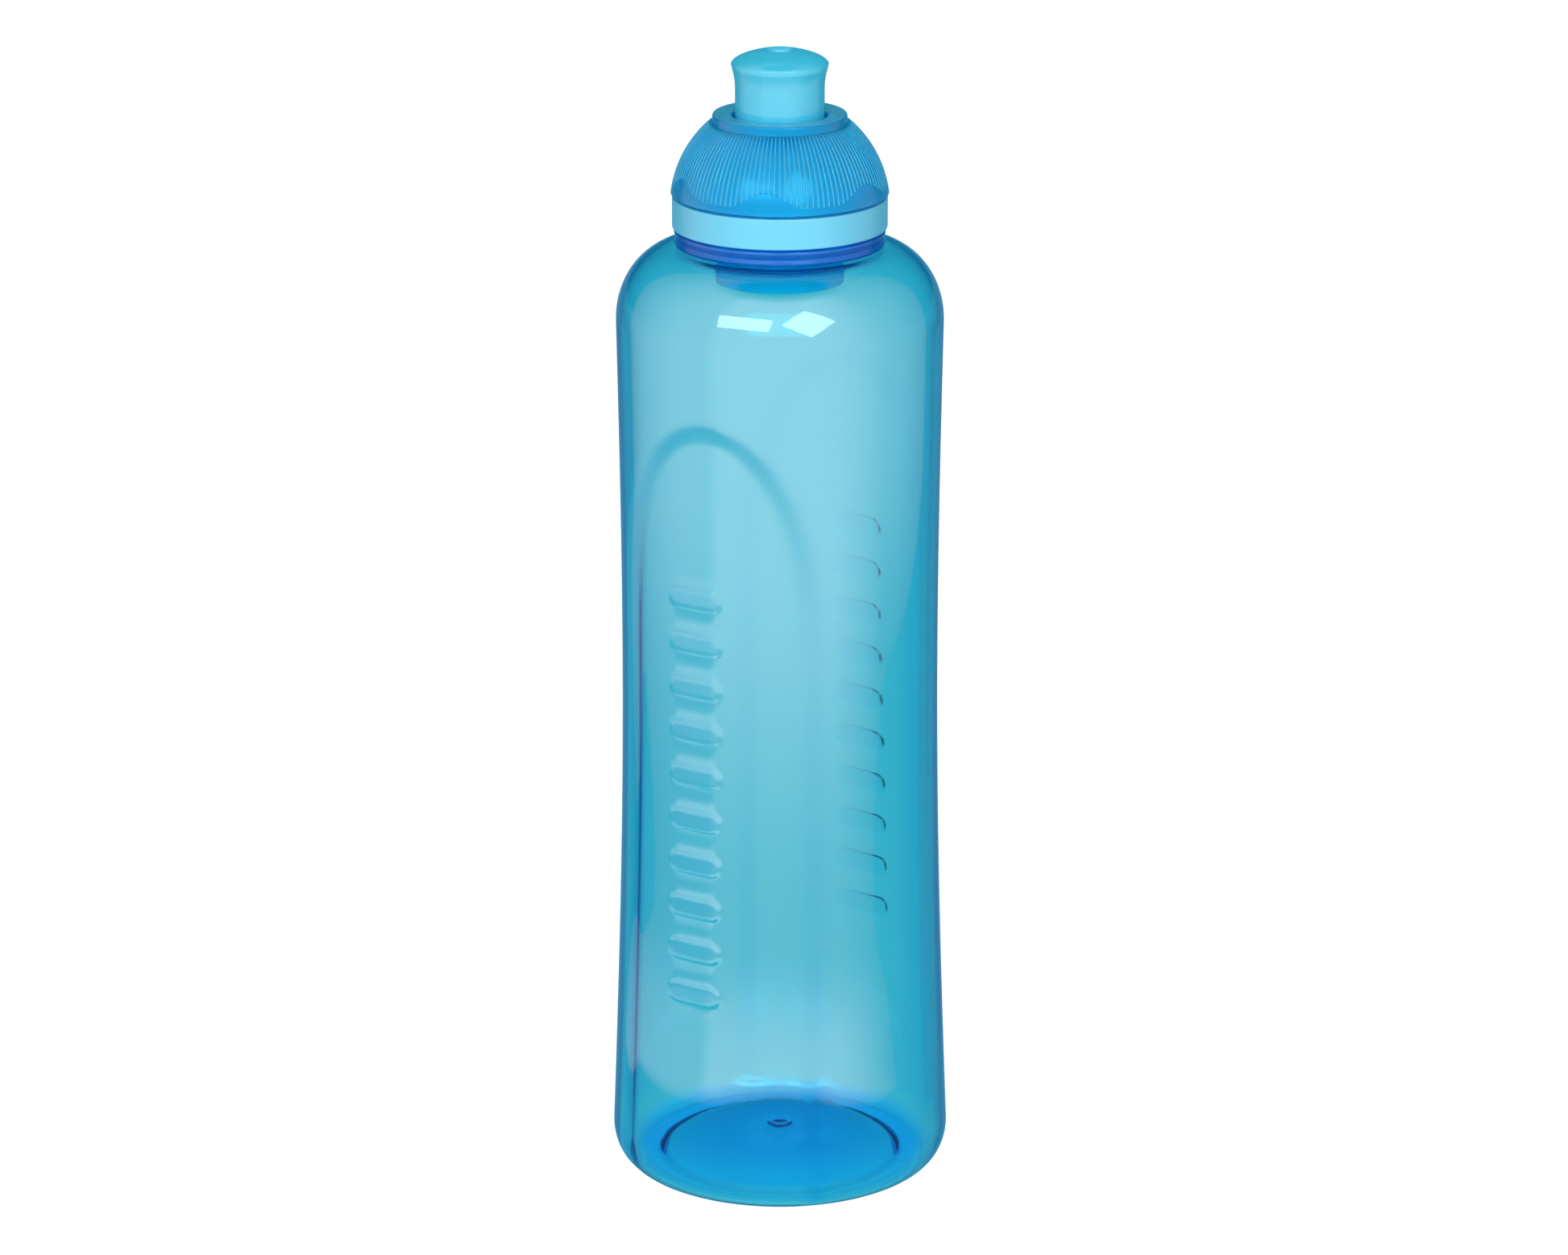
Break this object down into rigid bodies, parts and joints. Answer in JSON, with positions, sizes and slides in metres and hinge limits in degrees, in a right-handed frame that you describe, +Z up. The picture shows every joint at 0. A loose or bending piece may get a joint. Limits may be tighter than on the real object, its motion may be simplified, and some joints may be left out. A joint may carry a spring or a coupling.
{
  "type": "sports squeeze bottle",
  "caption": "Tall transparent blue squeeze bottle with a grip waist, arched panels, a screw cap, a ribbed twist dome and a rising drinking spout.",
  "frame": {"origin": "middle of the standing face, on the bottle's axis", "axes": "+Z up along the bottle's axis, from the base to the spout; -Y is the front"},
  "size_m": [0.0734, 0.0724, 0.2475],
  "materials": {
    "bottle_plastic": "clear teal-blue, glossy, soft wall",
    "cap_plastic": "translucent dark blue, glossy",
    "dome_plastic": "translucent blue, glossy, with fine upright ribs",
    "cyan_plastic": "opaque light cyan, satin gloss",
    "silicone": "milky silicone"
  },
  "bodies": {
    "bottle": {"bottle_body": "bottle_plastic"},
    "seal_washer": {"neck_gasket": "silicone"},
    "cap": {"screw_cap": "cap_plastic", "cover_ring": "cyan_plastic", "valve_insert": "cyan_plastic", "stem_seal": "silicone"},
    "dome": {"twist_dome": "dome_plastic"},
    "nozzle": {"spout": "cyan_plastic", "spout_o_ring": "silicone"}
  },
  "joints": [
    {"name": "cap_lift", "type": "slide", "parent": "bottle", "child": "seal_washer", "axis": [0, 0, 1], "range_m": [0, 0.00676]},
    {"name": "cap_unscrew", "type": "hinge", "parent": "seal_washer", "child": "cap", "pos_m": [0, 0, 0.212], "axis": [0, 0, 1], "range_deg": [0, 540]},
    {"name": "dome_twist", "type": "hinge", "parent": "cap", "child": "dome", "pos_m": [0, 0, 0.22], "axis": [0, 0, 1], "range_deg": [0, 70]},
    {"name": "spout_slide", "type": "slide", "parent": "cap", "child": "nozzle", "axis": [0, 0, 1], "range_m": [-0.00851, 0]}
  ],
  "couplings": [
    {"joint": "cap_lift", "follows": "cap_unscrew", "m_per_rad": 0.0007162},
    {"joint": "spout_slide", "follows": "dome_twist", "m_per_rad": -0.0069573}
  ]
}
